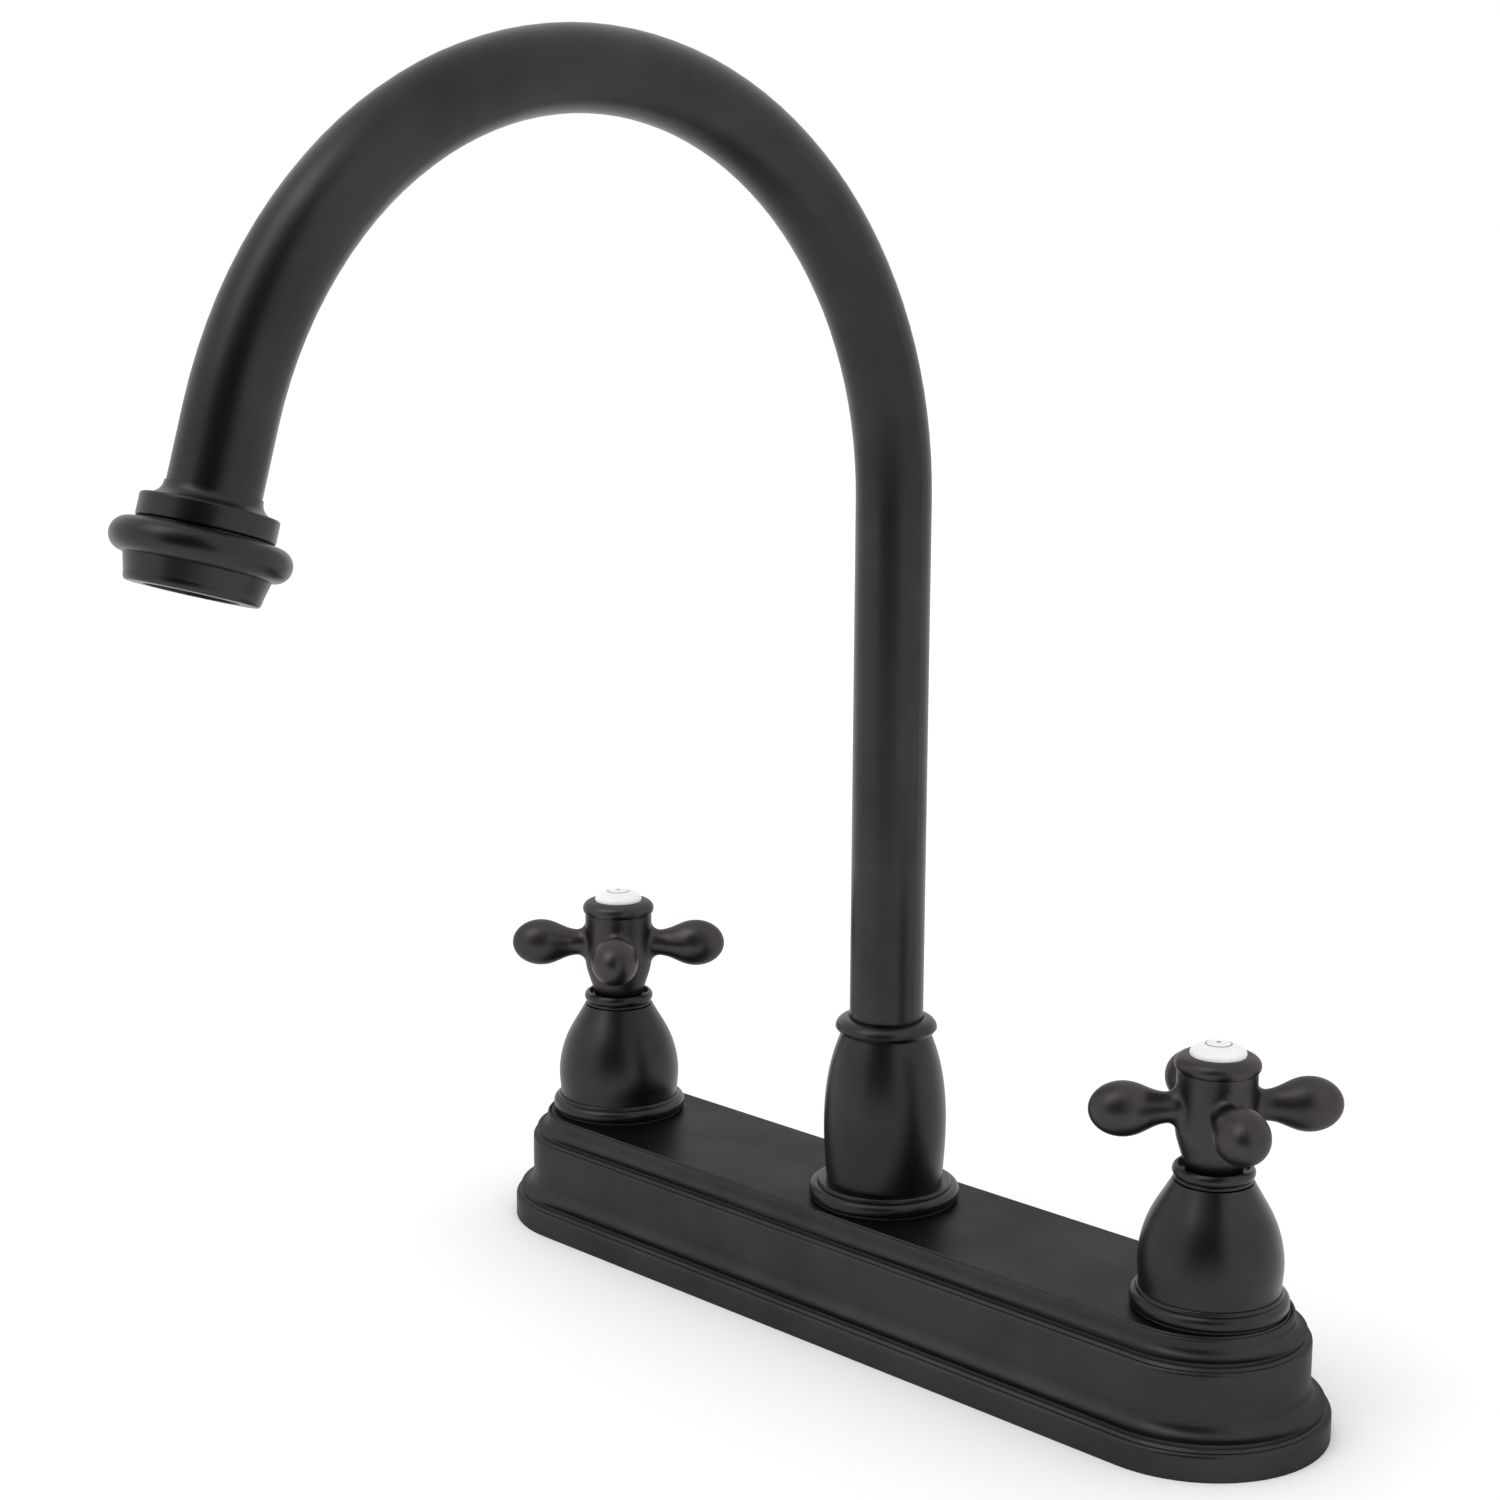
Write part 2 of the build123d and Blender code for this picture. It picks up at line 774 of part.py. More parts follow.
def spout_guide_bush():
    bush_outer = barrel_bore_radius - thread_gap
    bush_bore = tube_radius + bush_gap
    return ring(bush_outer, bush_bore, coupling_top + running_gap, barrel_top - cap_nut_skirt)


def bend_point(angle):
    """Point of the tube's axis, so many degrees round its bend."""
    turn = radians(angle)
    return (0, -bend_radius * (1 - cos(turn)), bend_start_height + bend_radius * sin(turn))


bend_direction = (0, -sin(radians(bend_sweep)), cos(radians(bend_sweep)))
nozzle_frame = Plane(bend_point(bend_sweep), x_dir=(1, 0, 0), z_dir=bend_direction)


def spout_tube():
    """Straight rise, one round bend and a straight tail."""
    bore = tube_radius - tube_wall
    section = Pos(0, 0, bend_start_height) * (Circle(tube_radius) - Circle(bore))
    bend = revolve(section, Axis((0, -bend_radius, bend_start_height), (1, 0, 0)), bend_sweep)
    tail = nozzle_frame * ring(tube_radius, bore, 0, tube_tail)
    return ring(tube_radius, bore, coupling_socket, bend_start_height) + bend + tail


# Nozzle and aerator, in the frame of the tube's end

collar_end = collar_start + collar_length
bead_start = collar_end + collar_groove
bead_end = bead_start + bead_thickness
ledge_end = tube_tail + nozzle_ledge
housing_start = ledge_end + aerator_washer_thickness
outlet_end = bead_end + outlet_taper_length + outlet_shoulder_length
insert_end = outlet_end - outlet_lip
insert_start = insert_end - insert_thickness
insert_radius = aerator_bore_radius - insert_gap


def spout_nozzle():
    """Flare, collar and bead, bored for the tube above and threaded for the aerator below."""
    socket = tube_radius + socket_gap
    thread = aerator_thread_radius + thread_gap
    flare_top = (tube_radius + flare_edge, flare_start)
    flare_foot = (flare_radius, collar_start)
    collar_face = collar_radius - collar_round
    outside = [
        Line((socket, flare_start), flare_top),
        Spline(flare_top, flare_foot, tangents=[(0, 1), (2, 1)]),
        Line(flare_foot, (collar_face, collar_start)),
        round_over((collar_radius, collar_start + collar_round), (collar_face, collar_start)),
        Line((collar_radius, collar_start + collar_round), (collar_radius, collar_end - collar_round)),
        round_over((collar_radius, collar_end - collar_round), (collar_face, collar_end)),
        Polyline((collar_face, collar_end), (collar_face, bead_start), (bead_root_radius, bead_start)),
        ThreePointArc(
            (bead_root_radius, bead_start),
            (bead_radius, bead_start + bead_thickness / 2),
            (bead_root_radius, bead_end),
        ),
    ]
    inside = Polyline(
        (bead_root_radius, bead_end),
        (thread, bead_end),
        (thread, ledge_end),
        (nozzle_waterway_radius, ledge_end),
        (nozzle_waterway_radius, tube_tail),
        (socket, tube_tail),
        (socket, flare_start),
    )
    return nozzle_frame * turned(*outside, inside)


def aerator_washer():
    return nozzle_frame * ring(aerator_thread_radius, nozzle_waterway_radius, ledge_end, housing_start)


def aerator_housing():
    """Threaded tube above, tapered skirt below, and the lip that holds the insert."""
    shoulder_start = bead_end + outlet_taper_length
    outline = Polyline(
        (outlet_radius, outlet_end),
        (outlet_lip_radius, outlet_end),
        (outlet_lip_radius, insert_end),
        (aerator_bore_radius, insert_end),
        (aerator_bore_radius, housing_start),
        (aerator_thread_radius, housing_start),
        (aerator_thread_radius, bead_end),
        (outlet_top_radius, bead_end),
        (outlet_shoulder_radius, shoulder_start),
    )
    shoulder = round_over((outlet_shoulder_radius, shoulder_start), (outlet_radius, outlet_end))
    return nozzle_frame * turned(outline, shoulder)


def insert_holes():
    """A middle hole and rings of holes round it."""
    holes = Circle(insert_hole_radius)
    for number in range(1, insert_hole_rings + 1):
        around = PolarLocations(number * insert_hole_pitch, number * insert_first_ring_holes)
        holes += around * Circle(insert_hole_radius)
    return holes


def aerator_insert():
    cup = ring(insert_radius, insert_radius - insert_rim, insert_start, insert_end)
    face = Circle(insert_radius) - insert_holes()
    return nozzle_frame * (cup + Pos(0, 0, insert_end - insert_web) * extrude(face, insert_web))


def aerator_screen():
    return nozzle_frame * rod(insert_radius, insert_start - screen_thickness, insert_start)


# Every node, in its place

saved("deck_plate", deck_plate())
saved("deck_gasket", deck_gasket())
saved("spout_hub", spout_hub())
saved("barrel_gasket", barrel_gasket())
saved("spout_barrel", spout_barrel())
saved("spout_cap_nut", spout_cap_nut())
saved("spout_guide_bush", spout_guide_bush())
saved("spout_thrust_washer", spout_thrust_washer())
saved("spout_tube", spout_tube())
saved("spout_coupling", spout_coupling())
saved("spout_lower_o_ring", spout_o_ring(0))
saved("spout_upper_o_ring", spout_o_ring(1))
saved("spout_nozzle", spout_nozzle())
saved("aerator_washer", aerator_washer())
saved("aerator_housing", aerator_housing())
saved("aerator_insert", aerator_insert())
saved("aerator_screen", aerator_screen())

one_side = {
    "valve_body": valve_body(),
    "shank_washer": shank_washer(),
    "locknut": locknut(),
    "bell_gasket": bell_gasket(),
    "bell": bell(),
    "bell_nut": bell_nut(),
    "cartridge_body": cartridge_body(),
    "seat_seal": seat_seal(),
    "fixed_disc": fixed_disc(),
    "moving_disc": moving_disc(),
    "stem": stem(),
    "stem_o_ring": stem_o_ring(),
    "stem_clip": stem_clip(),
    "handle_screw": handle_screw(),
    "button_cap": button_cap(),
    "index_button": index_button(),
}
for side, turn, handle_angle in (("hot", 0, 0), ("cold", 180, cold_handle_angle)):
    place = Rot(0, 0, turn) * Pos(-handle_x, 0, 0)
    for name, solid in one_side.items():
        saved(f"{side}_{name}", place * solid)
    saved(f"{side}_cross_handle", place * Rot(0, 0, handle_angle) * cross_handle())
    saved(f"{side}_cross_tube", Rot(0, 0, turn) * cross_tube())
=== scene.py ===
import bpy
import bmesh
import json
from math import cos, pi, radians, sin
from mathutils import Matrix, Vector


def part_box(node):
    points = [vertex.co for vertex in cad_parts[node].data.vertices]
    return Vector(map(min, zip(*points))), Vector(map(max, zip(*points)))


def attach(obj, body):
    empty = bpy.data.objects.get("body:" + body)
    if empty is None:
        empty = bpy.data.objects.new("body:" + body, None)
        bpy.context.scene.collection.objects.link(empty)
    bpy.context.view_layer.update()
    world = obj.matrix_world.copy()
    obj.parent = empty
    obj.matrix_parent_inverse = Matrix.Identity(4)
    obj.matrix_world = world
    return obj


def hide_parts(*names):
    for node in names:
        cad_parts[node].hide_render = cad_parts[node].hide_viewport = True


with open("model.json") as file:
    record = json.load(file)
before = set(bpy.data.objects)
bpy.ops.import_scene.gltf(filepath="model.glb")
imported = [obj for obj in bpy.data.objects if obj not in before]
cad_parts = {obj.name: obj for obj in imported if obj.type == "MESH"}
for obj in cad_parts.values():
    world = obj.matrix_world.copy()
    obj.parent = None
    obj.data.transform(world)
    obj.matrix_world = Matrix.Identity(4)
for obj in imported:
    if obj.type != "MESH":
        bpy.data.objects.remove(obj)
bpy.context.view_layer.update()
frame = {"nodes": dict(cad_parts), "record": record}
nodes = frame["nodes"]
print("frame loaded:", len(nodes), "nodes")

# the camera stands where the photographer stood
cameraView = {
    "place": (0.4357, -0.4875, 0.2714), "yaw": 44.87, "pitch": 10.74, "roll": -0.252, "lens": 63.613,
    "sensor": 36, "near": 0.01, "far": 100,
}


def makeCamera(view):
    data = bpy.data.cameras.new("faucetCamera")
    data.lens = view["lens"]
    data.sensor_width = view["sensor"]
    data.clip_start = view["near"]
    data.clip_end = view["far"]
    camera = bpy.data.objects.new("faucetCamera", data)
    bpy.context.scene.collection.objects.link(camera)
    yaw, pitch, roll = radians(view["yaw"]), radians(view["pitch"]), radians(view["roll"])
    ahead = Vector((-sin(yaw) * cos(pitch), cos(yaw) * cos(pitch), -sin(pitch)))
    level = Vector((cos(yaw), sin(yaw), 0))
    down = ahead.cross(level)
    right = level * cos(roll) + down * sin(roll)
    up = level * sin(roll) - down * cos(roll)
    turn = Matrix((right, up, -ahead)).transposed().to_4x4()
    camera.matrix_world = Matrix.Translation(view["place"]) @ turn
    bpy.context.scene.camera = camera


makeCamera(cameraView)
print("camera made")


# small helpers for node trees
def newMaterial(name):
    material = bpy.data.materials.new(name)
    material.use_nodes = True
    tree = material.node_tree
    shader = tree.nodes["Principled BSDF"]
    return material, tree, shader


def addNode(tree, kind, label, **values):
    node = tree.nodes.new(kind)
    node.label = label
    for key, value in values.items():
        if key in node.inputs.keys():
            node.inputs[key].default_value = value
        else:
            setattr(node, key, value)
    return node


def newGroup(name, inputs, outputs):
    group = bpy.data.node_groups.new(name, "ShaderNodeTree")
    for title, kind, value in inputs:
        socket = group.interface.new_socket(title, in_out="INPUT", socket_type=kind)
        if value is not None:
            socket.default_value = value
    for title, kind in outputs:
        group.interface.new_socket(title, in_out="OUTPUT", socket_type=kind)
    return group, group.nodes.new("NodeGroupInput"), group.nodes.new("NodeGroupOutput")


# color sockets of a Mix node
mixFirst, mixSecond, mixResult = 6, 7, 2

# soft clouding of a plated or painted skin, with its fine grain
skinPattern = {
    "cloudDetail": 3.0, "cloudRoughness": 0.55, "cloudLow": 0.35, "cloudHigh": 0.65,
    "grainDetail": 2.0, "grainRoughness": 0.6,
}


def makeSkinGroup(pattern):
    group, entry, outlet = newGroup(
        "satinSkin",
        [
            ("Dark Tone", "NodeSocketColor", (0.03, 0.03, 0.03, 1)),
            ("Light Tone", "NodeSocketColor", (0.05, 0.05, 0.05, 1)),
            ("Cloud Scale", "NodeSocketFloat", 40),
            ("Grain Scale", "NodeSocketFloat", 2500),
            ("Low Gloss", "NodeSocketFloat", 0.45),
            ("High Gloss", "NodeSocketFloat", 0.35),
        ],
        [("Color", "NodeSocketColor"), ("Roughness", "NodeSocketFloat"), ("Grain", "NodeSocketFloat")],
    )
    link = group.links.new
    place = addNode(group, "ShaderNodeTexCoord", "place")
    clouds = addNode(group, "ShaderNodeTexNoise", "clouds", Detail=pattern["cloudDetail"])
    clouds.inputs["Roughness"].default_value = pattern["cloudRoughness"]
    grain = addNode(group, "ShaderNodeTexNoise", "grain", Detail=pattern["grainDetail"])
    grain.inputs["Roughness"].default_value = pattern["grainRoughness"]
    tone = addNode(group, "ShaderNodeMix", "tone", data_type="RGBA")
    spread = addNode(group, "ShaderNodeMapRange", "spread")
    spread.inputs["From Min"].default_value = pattern["cloudLow"]
    spread.inputs["From Max"].default_value = pattern["cloudHigh"]
    gloss = addNode(group, "ShaderNodeMapRange", "gloss")
    link(place.outputs["Object"], clouds.inputs["Vector"])
    link(place.outputs["Object"], grain.inputs["Vector"])
    link(entry.outputs["Cloud Scale"], clouds.inputs["Scale"])
    link(entry.outputs["Grain Scale"], grain.inputs["Scale"])
    link(clouds.outputs["Fac"], spread.inputs["Value"])
    link(spread.outputs["Result"], tone.inputs["Factor"])
    link(entry.outputs["Dark Tone"], tone.inputs[mixFirst])
    link(entry.outputs["Light Tone"], tone.inputs[mixSecond])
    link(spread.outputs["Result"], gloss.inputs["Value"])
    link(entry.outputs["Low Gloss"], gloss.inputs["To Min"])
    link(entry.outputs["High Gloss"], gloss.inputs["To Max"])
    link(tone.outputs[mixResult], outlet.inputs["Color"])
    link(gloss.outputs["Result"], outlet.inputs["Roughness"])
    link(grain.outputs["Fac"], outlet.inputs["Grain"])
    return group


skinGroup = makeSkinGroup(skinPattern)


def skinMaterial(name, look):
    material, tree, shader = newMaterial(name)
    link = tree.links.new
    skin = tree.nodes.new("ShaderNodeGroup")
    skin.node_tree = skinGroup
    skin.inputs["Dark Tone"].default_value = (*look["dark"], 1)
    skin.inputs["Light Tone"].default_value = (*look["light"], 1)
    skin.inputs["Cloud Scale"].default_value = look["clouds"]
    skin.inputs["Grain Scale"].default_value = look["grain"]
    skin.inputs["Low Gloss"].default_value = look["rough"][0]
    skin.inputs["High Gloss"].default_value = look["rough"][1]
    bump = addNode(tree, "ShaderNodeBump", "grain height", Strength=look["bump"], Distance=look["depth"])
    shader.inputs["Metallic"].default_value = look["metal"]
    shader.inputs["Specular Tint"].default_value = (*look["edge"], 1)
    link(skin.outputs["Color"], shader.inputs["Base Color"])
    link(skin.outputs["Roughness"], shader.inputs["Roughness"])
    link(skin.outputs["Grain"], bump.inputs["Height"])
    link(bump.outputs["Normal"], shader.inputs["Normal"])
    material.diffuse_color = (*look["light"], 1)
    return material


# plain ring and dot fired into a porcelain button; both handles stand as far from the middle
def buttonMaterial(name, look, mark):
    material = skinMaterial(name, look)
    tree = material.node_tree
    link = tree.links.new
    low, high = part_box("cold_index_button")
    place = addNode(tree, "ShaderNodeTexCoord", "place")
    split = addNode(tree, "ShaderNodeSeparateXYZ", "split")
    either = addNode(tree, "ShaderNodeMath", "either side", operation="ABSOLUTE")
    across = addNode(tree, "ShaderNodeMath", "across", operation="SUBTRACT")
    across.inputs[1].default_value = (low[0] + high[0]) / 2
    flat = addNode(tree, "ShaderNodeCombineXYZ", "flat")
    reach = addNode(tree, "ShaderNodeVectorMath", "from the middle", operation="LENGTH")
    link(place.outputs["Object"], split.inputs["Vector"])
    link(split.outputs["X"], either.inputs[0])
    link(either.outputs[0], across.inputs[0])
    link(across.outputs[0], flat.inputs["X"])
    link(split.outputs["Y"], flat.inputs["Y"])
    link(flat.outputs["Vector"], reach.inputs[0])
    masks = []
    for radius, half in ((mark["ring"], mark["line"] / 2), (0.0, mark["dot"])):
        away = addNode(tree, "ShaderNodeMath", "away from line", operation="SUBTRACT")
        away.inputs[1].default_value = radius
        off = addNode(tree, "ShaderNodeMath", "either way", operation="ABSOLUTE")
        mask = addNode(tree, "ShaderNodeMapRange", "line", interpolation_type="SMOOTHSTEP")
        mask.inputs["From Min"].default_value = half + mark["soft"]
        mask.inputs["From Max"].default_value = half - mark["soft"]
        link(reach.outputs["Value"], away.inputs[0])
        link(away.outputs[0], off.inputs[0])
        link(off.outputs[0], mask.inputs["Value"])
        masks.append(mask)
    both = addNode(tree, "ShaderNodeMath", "ring and dot", operation="MAXIMUM")
    inked = addNode(tree, "ShaderNodeMix", "ink", data_type="RGBA")
    shader = tree.nodes["Principled BSDF"]
    glaze = shader.inputs["Base Color"].links[0].from_socket
    link(masks[0].outputs["Result"], both.inputs[0])
    link(masks[1].outputs["Result"], both.inputs[1])
    link(both.outputs[0], inked.inputs["Factor"])
    link(glaze, inked.inputs[mixFirst])
    inked.inputs[mixSecond].default_value = (*mark["ink"], 1)
    link(inked.outputs[mixResult], shader.inputs["Base Color"])
    return material


# a look for each finish on the faucet
plateLook = {
    "dark": (0.039, 0.039, 0.040), "light": (0.049, 0.049, 0.051), "clouds": 35, "grain": 2600,
    "rough": (0.40, 0.34), "bump": 0.16, "depth": 0.00006, "metal": 1.0, "edge": (0.60, 0.60, 0.62),
}
spoutLook = {
    "dark": (0.034, 0.034, 0.036), "light": (0.046, 0.046, 0.049), "clouds": 30, "grain": 2600,
    "rough": (0.39, 0.33), "bump": 0.14, "depth": 0.00006, "metal": 1.0, "edge": (1.0, 1.0, 1.0),
}
handleLook = {
    "dark": (0.053, 0.049, 0.048), "light": (0.067, 0.062, 0.060), "clouds": 60, "grain": 2600,
    "rough": (0.42, 0.36), "bump": 0.18, "depth": 0.00006, "metal": 1.0, "edge": (0.80, 0.77, 0.76),
}
brassLook = {
    "dark": (0.66, 0.45, 0.18), "light": (0.76, 0.55, 0.26), "clouds": 45, "grain": 1800,
    "rough": (0.36, 0.24), "bump": 0.2, "depth": 0.00008, "metal": 1.0, "edge": (1, 1, 1),
}
copperLook = {
    "dark": (0.66, 0.33, 0.20), "light": (0.78, 0.43, 0.28), "clouds": 50, "grain": 1500,
    "rough": (0.38, 0.26), "bump": 0.15, "depth": 0.00008, "metal": 1.0, "edge": (1, 1, 1),
}
steelLook = {
    "dark": (0.52, 0.52, 0.52), "light": (0.66, 0.66, 0.66), "clouds": 60, "grain": 2200,
    "rough": (0.34, 0.24), "bump": 0.2, "depth": 0.00006, "metal": 1.0, "edge": (1, 1, 1),
}
rubberLook = {
    "dark": (0.014, 0.014, 0.014), "light": (0.028, 0.028, 0.028), "clouds": 90, "grain": 3000,
    "rough": (0.78, 0.62), "bump": 0.3, "depth": 0.0001, "metal": 0.0, "edge": (1, 1, 1),
}
foamLook = {
    "dark": (0.03, 0.03, 0.03), "light": (0.07, 0.07, 0.07), "clouds": 700, "grain": 1800,
    "rough": (0.95, 0.85), "bump": 0.8, "depth": 0.0004, "metal": 0.0, "edge": (1, 1, 1),
}
nylonLook = {
    "dark": (0.78, 0.77, 0.72), "light": (0.86, 0.86, 0.82), "clouds": 40, "grain": 1600,
    "rough": (0.5, 0.4), "bump": 0.15, "depth": 0.00008, "metal": 0.0, "edge": (1, 1, 1),
}
ceramicLook = {
    "dark": (0.82, 0.80, 0.76), "light": (0.90, 0.89, 0.86), "clouds": 80, "grain": 3000,
    "rough": (0.2, 0.12), "bump": 0.05, "depth": 0.00004, "metal": 0.0, "edge": (1, 1, 1),
}
buttonMark = {"ring": 0.003, "dot": 0.0006, "line": 0.00035, "soft": 0.00008, "ink": (0.10, 0.10, 0.11)}
porcelainLook = {
    "dark": (0.76, 0.76, 0.77), "light": (0.82, 0.82, 0.83), "clouds": 110, "grain": 900,
    "rough": (0.12, 0.06), "bump": 0.05, "depth": 0.00006, "metal": 0.0, "edge": (1, 1, 1),
}

finishes = {
    "plate_finish": skinMaterial("plateSatin", plateLook),
    "spout_finish": skinMaterial("spoutSatin", spoutLook),
    "handle_finish": skinMaterial("handleSatin", handleLook),
    "brass": skinMaterial("machinedBrass", brassLook),
    "copper_tube": skinMaterial("drawnCopper", copperLook),
    "steel": skinMaterial("stainlessSteel", steelLook),
    "rubber": skinMaterial("mouldedRubber", rubberLook),
    "foam": skinMaterial("closedFoam", foamLook),
    "nylon": skinMaterial("naturalNylon", nylonLook),
    "ceramic": skinMaterial("groundCeramic", ceramicLook),
    "porcelain": buttonMaterial("glazedPorcelain", porcelainLook, buttonMark),
}
slotOf = {part["node"]: part["material_slot"] for part in frame["record"]["subparts"]}
for name, node in nodes.items():
    node.data.materials.clear()
    node.data.materials.append(finishes[slotOf[name]])
print("finishes laid on", len(nodes), "nodes")

# points of a copied mesh this near to each other are one
mergeDistance = 1e-6

# the shanks: the valve block's own mesh with its shank turned down, and a helical ridge round it
shankThread = {
    "pitch": 0.001814, "rootRadius": 0.0094, "crestRadius": 0.01045, "sink": 0.0002, "crestHalf": 0.00012,
    "runs": ((-0.0332, 0.0), (-0.0517, -0.0358)), "stepsPerTurn": 36,
    "top": 0.0031, "innerRadius": 0.0093, "outerRadius": 0.01055,
}


def newPiece(shape, name, material, body, node):
    mesh = bpy.data.meshes.new(name)
    shape.to_mesh(mesh)
    shape.free()
    piece = bpy.data.objects.new(name, mesh)
    bpy.context.scene.collection.objects.link(piece)
    mesh.materials.append(material)
    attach(piece, body)
    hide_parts(node)
    return piece


def nodeCorners(node):
    return [Vector(corner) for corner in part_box(node)]


def addProfile(shape, corners):
    verts = [shape.verts.new((across, 0, rise)) for across, rise in corners]
    return verts + [shape.edges.new(pair) for pair in zip(verts, verts[1:] + verts[:1])]


def addRidge(shape, low, high, setup):
    pitch, stepsPerTurn = setup["pitch"], setup["stepsPerTurn"]
    steps = round(((high - low) / pitch - 1) * stepsPerTurn)
    inner, outer, crest = setup["rootRadius"] - setup["sink"], setup["crestRadius"], setup["crestHalf"]
    corners = ((inner, 0), (outer, pitch / 2 - crest), (outer, pitch / 2 + crest), (inner, pitch))
    profile = addProfile(shape, [(radius, low + rise) for radius, rise in corners])
    spun = bmesh.ops.spin(
        shape, geom=profile, cent=(0, 0, 0), axis=(0, 0, 1), dvec=(0, 0, pitch / stepsPerTurn),
        angle=steps * 2 * pi / stepsPerTurn, steps=steps,
    )
    for end in (profile, spun["geom_last"]):
        loop = [part for part in end if isinstance(part, bmesh.types.BMEdge)]
        bmesh.ops.contextual_create(shape, geom=loop)


def makeThreadedBlock(side, setup):
    node = side + "_valve_body"
    low, high = nodeCorners(node)
    axis = Vector(((low.x + high.x) / 2, (low.y + high.y) / 2, 0))
    shape = bmesh.new()
    shape.from_mesh(nodes[node].data)
    bmesh.ops.remove_doubles(shape, verts=shape.verts, dist=mergeDistance)
    bmesh.ops.translate(shape, verts=shape.verts, vec=-axis)
    for vert in shape.verts:
        radius = vert.co.xy.length
        if vert.co.z < setup["top"] and setup["innerRadius"] < radius < setup["outerRadius"]:
            vert.co.xy *= setup["rootRadius"] / radius
    for start, end in setup["runs"]:
        addRidge(shape, start, end, setup)
    bmesh.ops.recalc_face_normals(shape, faces=shape.faces)
    bmesh.ops.translate(shape, verts=shape.verts, vec=axis)
    newPiece(shape, side + "ThreadedBlock", finishes["brass"], "base", node)


# locknuts with eased corners, as large as their solids
locknutShape = {
    "flange": 0.002, "bore": 0.0106, "boreSides": 60, "ease": 0.0007, "segments": 3, "sides": 120,
    "corners": 6, "cornerTurn": 30, "pastBore": 1.1, "nearly": 0.999, "level": 1e-6,
}


def easeEdges(shape, edges, width, segments):
    bmesh.ops.bevel(
        shape, geom=edges, offset=width, affect="EDGES", segments=segments, profile=0.5, material=-1,
        clamp_overlap=True,
    )


def edgesPast(shape, radius):
    return [e for e in shape.edges if min(v.co.xy.length for v in e.verts) > radius]


def addWasher(shape, bore, radius, low, high, setup):
    profile = addProfile(shape, ((bore, low), (radius, low), (radius, high), (bore, high)))
    bmesh.ops.spin(
        shape, geom=profile, cent=(0, 0, 0), axis=(0, 0, 1), angle=2 * pi, steps=setup["sides"],
        use_merge=True,
    )


def makeLocknut(side, setup):
    node = side + "_locknut"
    low, high = nodeCorners(node)
    size = high - low
    flangeBase = size.z - setup["flange"]
    shape = bmesh.new()
    corners = bmesh.ops.create_circle(shape, segments=setup["corners"], radius=size.x / 2)["verts"]
    turn = Matrix.Rotation(radians(setup["cornerTurn"]), 3, "Z")
    bmesh.ops.rotate(shape, verts=corners, cent=(0, 0, 0), matrix=turn)
    bmesh.ops.create_circle(shape, segments=setup["boreSides"], radius=setup["bore"])
    face = bmesh.ops.bridge_loops(shape, edges=shape.edges[:])["faces"]
    bmesh.ops.solidify(shape, geom=face, thickness=flangeBase)
    bmesh.ops.recalc_face_normals(shape, faces=shape.faces)
    bottom = min(vert.co.z for vert in shape.verts)
    bmesh.ops.translate(shape, verts=shape.verts, vec=(0, 0, -bottom))
    easeEdges(shape, edgesPast(shape, setup["bore"] * setup["pastBore"]), setup["ease"], setup["segments"])
    addWasher(shape, setup["bore"], size.y / 2, flangeBase, size.z, setup)
    outside = edgesPast(shape, size.y / 2 * setup["nearly"])
    flange = [e for e in outside if min(v.co.z for v in e.verts) > flangeBase * setup["nearly"]]
    rim = [e for e in flange if abs(e.verts[0].co.z - e.verts[1].co.z) < setup["level"]]
    easeEdges(shape, rim, setup["ease"], setup["segments"])
    bmesh.ops.recalc_face_normals(shape, faces=shape.faces)
    bmesh.ops.translate(shape, verts=shape.verts, vec=(low + high) / 2 - Vector((0, 0, size.z / 2)))
    newPiece(shape, side + "EasedLocknut", finishes["brass"], "base", node)


for side in ("hot", "cold"):
    makeThreadedBlock(side, shankThread)
    makeLocknut(side, locknutShape)
print("shanks threaded, locknuts eased")

# turned feet of the bells and the barrel: each a copy of its mesh, with the rim filled out underneath
turnedFoot = {"half": 0.0016, "round": 0.0012, "edge": 0.00035, "near": 0.00002, "squareness": 4}


# the solid's own smooth normals, kept on a copy wherever it isn't changed
def keepNormals(shape, source):
    kept = shape.loops.layers.float_vector.new("kept")
    for face in shape.faces:
        for loop, corner in zip(face.loops, source.polygons[face.index].loop_indices):
            loop[kept] = source.corner_normals[corner].vector
    return kept


def layNormals(mesh):
    mesh.normals_split_custom_set([tuple(corner.vector) for corner in mesh.attributes["kept"].data])
    mesh.attributes.remove(mesh.attributes["kept"])


def makeTurnedFoot(node, name, setup):
    low, high = nodeCorners(node)
    axis = Vector(((low.x + high.x) / 2, (low.y + high.y) / 2, low.z))
    rim = (high.x - low.x) / 2
    arcTop = rim - setup["round"]
    shape = bmesh.new()
    shape.from_mesh(nodes[node].data)
    kept = keepNormals(shape, nodes[node].data)
    bmesh.ops.remove_doubles(shape, verts=shape.verts, dist=mergeDistance)
    bmesh.ops.translate(shape, verts=shape.verts, vec=-axis)
    for vert in shape.verts:
        radius = vert.co.xy.length
        below = 1 - vert.co.z / setup["half"]
        if below > 0 and radius > arcTop - setup["near"]:
            vert.co.xy *= (rim - setup["edge"] * below ** setup["squareness"]) / radius
            for loop in vert.link_loops:
                loop[kept] = (0, 0, 0)
    bmesh.ops.recalc_face_normals(shape, faces=shape.faces)
    bmesh.ops.translate(shape, verts=shape.verts, vec=axis)
    piece = newPiece(shape, name, finishes["spout_finish"], "base", node)
    layNormals(piece.data)


for node, name in (
    ("spout_barrel", "turnedBarrel"), ("hot_bell", "hotTurnedBell"), ("cold_bell", "coldTurnedBell"),
):
    makeTurnedFoot(node, name, turnedFoot)
print("feet turned")

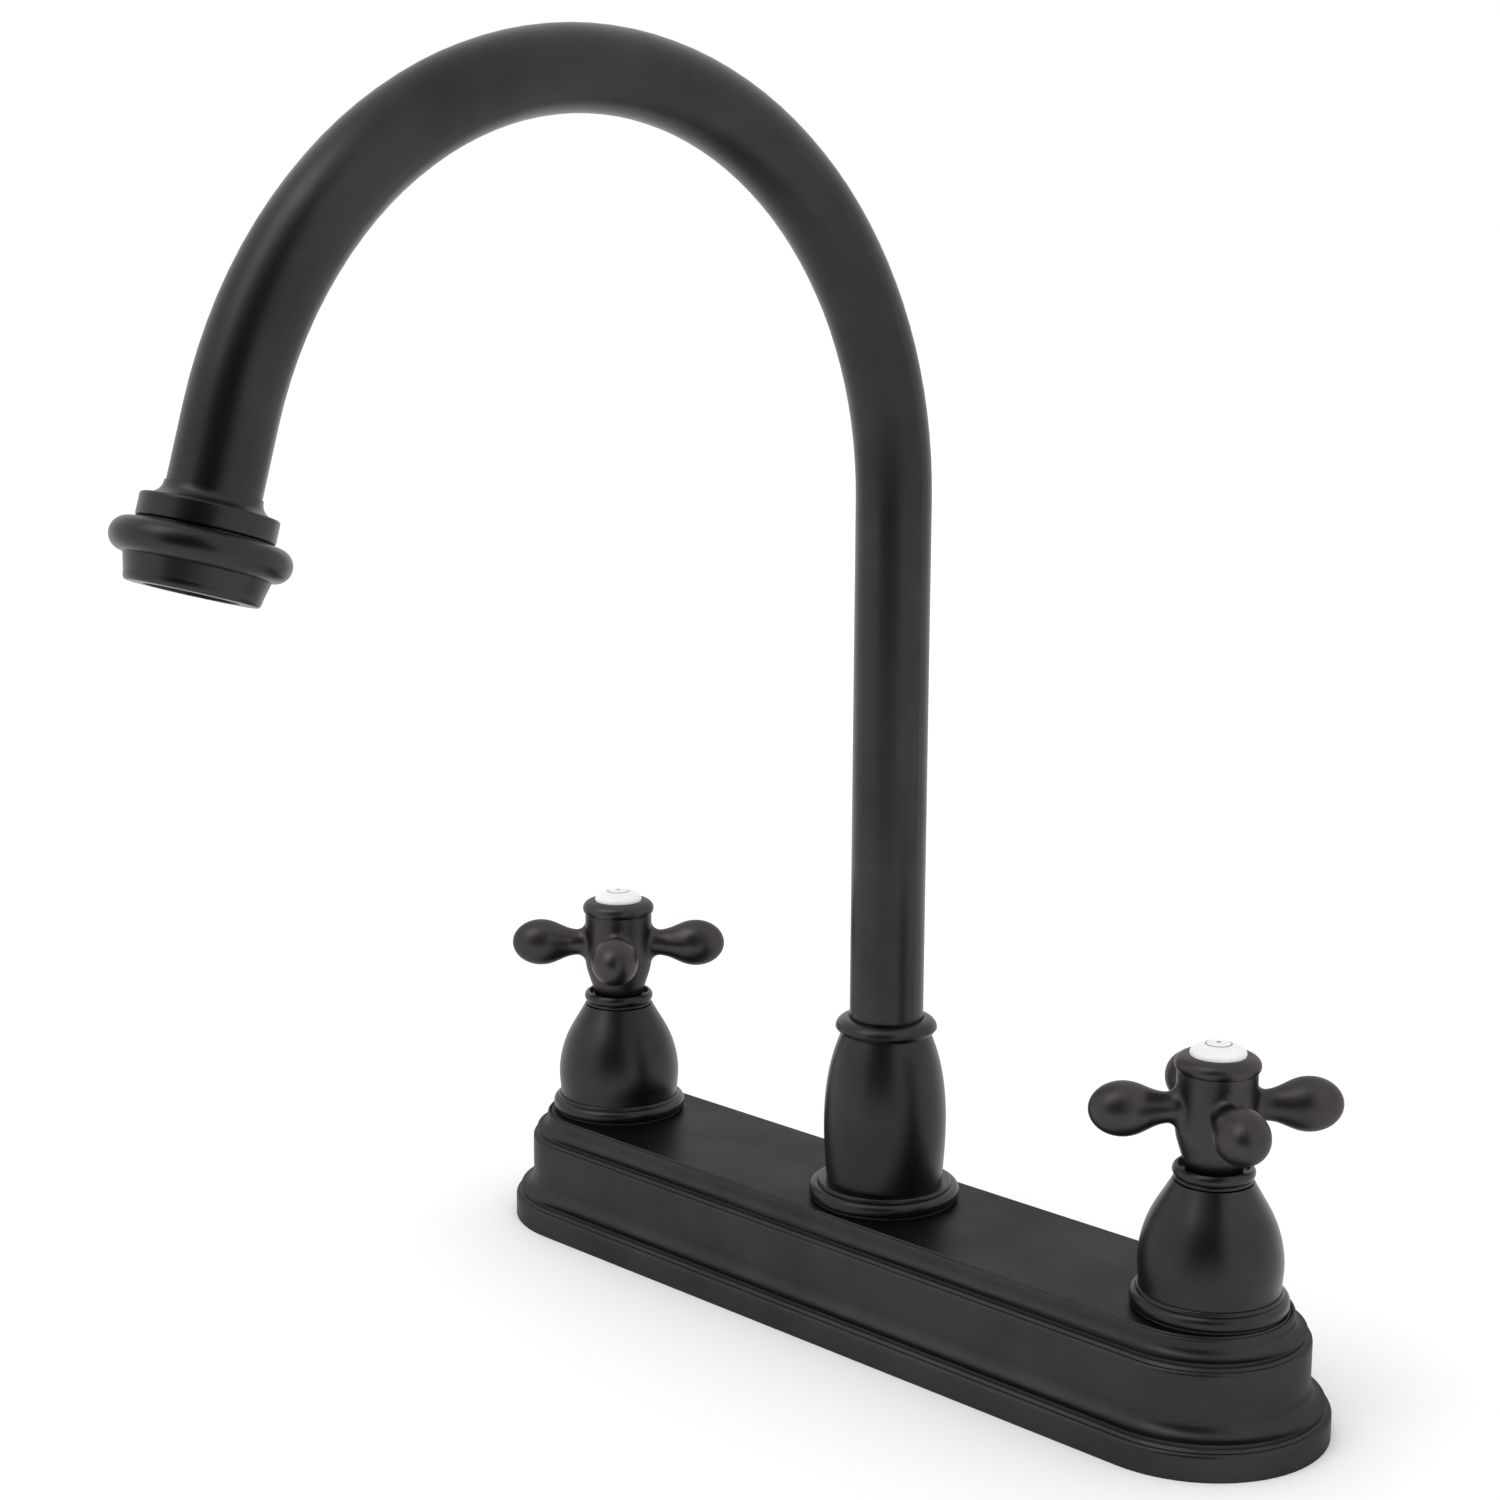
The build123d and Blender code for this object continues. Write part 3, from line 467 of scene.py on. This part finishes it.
# pale deck, even light from all round, and cards that darken what the metal mirrors
studio = {
    "deckSize": 12.0, "deckSides": 96, "deckRise": 0.0002, "deckColor": (0.96, 0.96, 0.96),
    "deckRoughness": 0.9, "cardDistance": 0.9, "cardHeight": 1.6, "cardRoughness": 1.0,
    "worldStrength": 1.0, "keyStrength": 0.6, "keyAngle": 40, "keyTilt": 35, "keyTurn": -10,
}
darkCard = {"turn": 31.0, "width": 1.0, "tone": 0.04}
greyCard = {"turn": 95.0, "width": 1.4, "tone": 0.95}


def makeDeck(setup):
    mesh = bpy.data.meshes.new("sinkDeck")
    shape = bmesh.new()
    bmesh.ops.create_circle(shape, cap_ends=True, segments=setup["deckSides"], radius=setup["deckSize"])
    shape.to_mesh(mesh)
    shape.free()
    deck = bpy.data.objects.new("sinkDeck", mesh)
    bpy.context.scene.collection.objects.link(deck)
    deck.location.z = setup["deckRise"]
    material, tree, shader = newMaterial("paleDeck")
    shader.inputs["Base Color"].default_value = (*setup["deckColor"], 1)
    shader.inputs["Roughness"].default_value = setup["deckRoughness"]
    shader.inputs["Specular IOR Level"].default_value = 0.0
    side = addNode(tree, "ShaderNodeNewGeometry", "which side")
    clear = addNode(tree, "ShaderNodeBsdfTransparent", "clear from beneath")
    choice = addNode(tree, "ShaderNodeMixShader", "seen from above only")
    tree.links.new(side.outputs["Backfacing"], choice.inputs["Fac"])
    tree.links.new(shader.outputs["BSDF"], choice.inputs[1])
    tree.links.new(clear.outputs["BSDF"], choice.inputs[2])
    tree.links.new(choice.outputs["Shader"], tree.nodes["Material Output"].inputs["Surface"])
    mesh.materials.append(material)


def makeCard(name, card, setup):
    height, distance = setup["cardHeight"], setup["cardDistance"]
    mesh = bpy.data.meshes.new(name)
    shape = bmesh.new()
    bmesh.ops.create_grid(shape, x_segments=1, y_segments=1, size=0.5)
    bmesh.ops.scale(shape, vec=(card["width"], height, 1), verts=shape.verts)
    shape.to_mesh(mesh)
    shape.free()
    board = bpy.data.objects.new(name, mesh)
    bpy.context.scene.collection.objects.link(board)
    angle = radians(card["turn"])
    board.location = (sin(angle) * distance, -cos(angle) * distance, height / 2)
    board.rotation_euler = (radians(90), 0, angle)
    board.visible_camera = False
    board.visible_diffuse = False
    board.visible_shadow = False
    material, tree, shader = newMaterial(name)
    shader.inputs["Base Color"].default_value = (card["tone"], card["tone"], card["tone"], 1)
    shader.inputs["Roughness"].default_value = setup["cardRoughness"]
    mesh.materials.append(material)


def makeLight(setup):
    world = bpy.data.worlds.new("studio")
    world.use_nodes = True
    world.node_tree.nodes["Background"].inputs["Color"].default_value = (1, 1, 1, 1)
    world.node_tree.nodes["Background"].inputs["Strength"].default_value = setup["worldStrength"]
    bpy.context.scene.world = world
    data = bpy.data.lights.new("keySun", "SUN")
    data.energy = setup["keyStrength"]
    data.angle = radians(setup["keyAngle"])
    sun = bpy.data.objects.new("keySun", data)
    bpy.context.scene.collection.objects.link(sun)
    sun.rotation_euler = (radians(setup["keyTilt"]), 0, radians(setup["keyTurn"]))


makeDeck(studio)
makeCard("darkCard", darkCard, studio)
makeCard("greyCard", greyCard, studio)
makeLight(studio)
bpy.context.scene.view_settings.view_transform = "Standard"
print("studio set")
